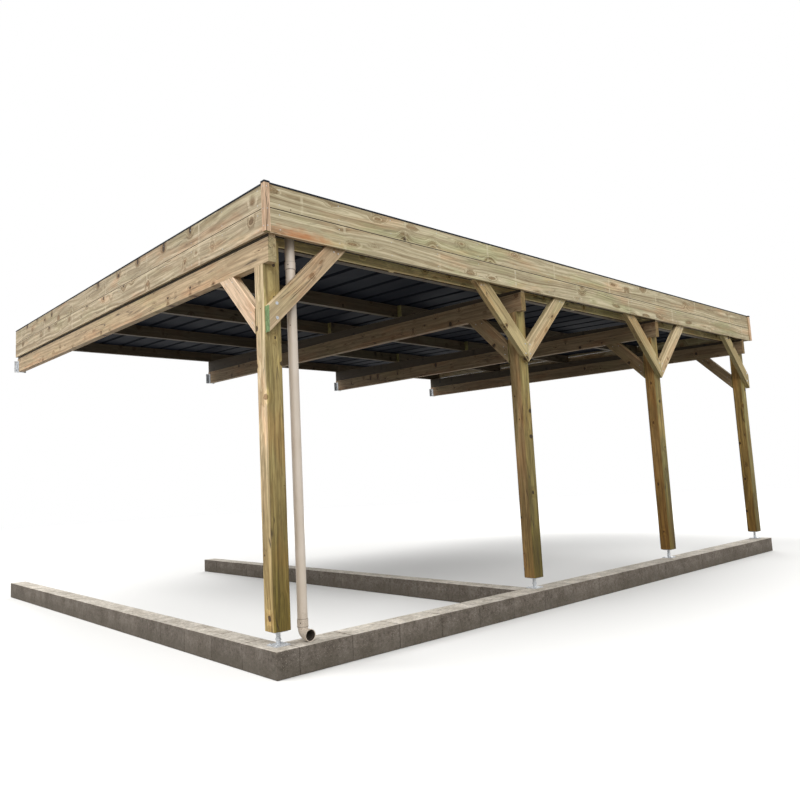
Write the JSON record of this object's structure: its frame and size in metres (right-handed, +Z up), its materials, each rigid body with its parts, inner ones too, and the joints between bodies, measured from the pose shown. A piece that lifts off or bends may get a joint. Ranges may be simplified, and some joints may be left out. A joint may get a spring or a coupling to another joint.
{
  "type": "carport",
  "caption": "Lean-to timber carport with braced posts on a concrete kerb, lapped purlins on firrings, a boarded fascia and a ribbed steel roof falling to a hidden gutter.",
  "frame": {"origin": "middle of the whole outline, on the underside of the kerbs", "axes": "+X from the house wall to the lawn, +Y from the front to the back, +Z up"},
  "size_m": [7.2066, 9.1774, 3.967],
  "materials": {
    "frame_timber": "planed, pressure treated",
    "fascia_timber": "planed, pressure treated",
    "galvanised_steel": "hot-dip galvanised",
    "dark_sheet_steel": "coated, matt",
    "sand_plastic": "satin",
    "concrete": "cast, rough"
  },
  "bodies": {
    "root": {"back_cap": "dark_sheet_steel", "back_fascia": "fascia_timber", "back_upstand": "fascia_timber", "beam_1": "frame_timber", "beam_2": "frame_timber", "beam_3": "frame_timber", "beam_4": "frame_timber", "beam_brace_1": "frame_timber", "beam_brace_2": "frame_timber", "beam_brace_3": "frame_timber", "beam_brace_4": "frame_timber", "corner_cap_back": "dark_sheet_steel", "corner_cap_front": "dark_sheet_steel", "corner_trim_back": "fascia_timber", "corner_trim_front": "fascia_timber", "cross_kerb": "concrete", "downpipe": "sand_plastic", "downpipe_shoe": "sand_plastic", "edge_purlin": "frame_timber", "firring_1": "frame_timber", "firring_2": "frame_timber", "firring_3": "frame_timber", "firring_4": "frame_timber", "front_cap": "dark_sheet_steel", "front_fascia": "fascia_timber", "front_kerb": "concrete", "front_upstand": "fascia_timber", "gutter": "dark_sheet_steel", "gutter_board": "frame_timber", "post_1": "frame_timber", "post_2": "frame_timber", "post_3": "frame_timber", "post_4": "frame_timber", "post_anchor_1": "galvanised_steel", "post_anchor_2": "galvanised_steel", "post_anchor_3": "galvanised_steel", "post_anchor_4": "galvanised_steel", "purlin_1": "frame_timber", "purlin_2": "frame_timber", "purlin_3": "frame_timber", "rim_beam": "frame_timber", "roof_sheets": "dark_sheet_steel", "side_brace_1_back": "frame_timber", "side_brace_2_back": "frame_timber", "side_brace_2_front": "frame_timber", "side_brace_3_back": "frame_timber", "side_brace_3_front": "frame_timber", "side_brace_4_front": "frame_timber", "side_cap": "dark_sheet_steel", "side_fascia": "fascia_timber", "side_kerb": "concrete", "side_upstand": "fascia_timber", "wall_hanger_1": "galvanised_steel", "wall_hanger_2": "galvanised_steel", "wall_hanger_3": "galvanised_steel", "wall_hanger_4": "galvanised_steel", "wall_purlin": "frame_timber"}
  },
  "joints": []
}
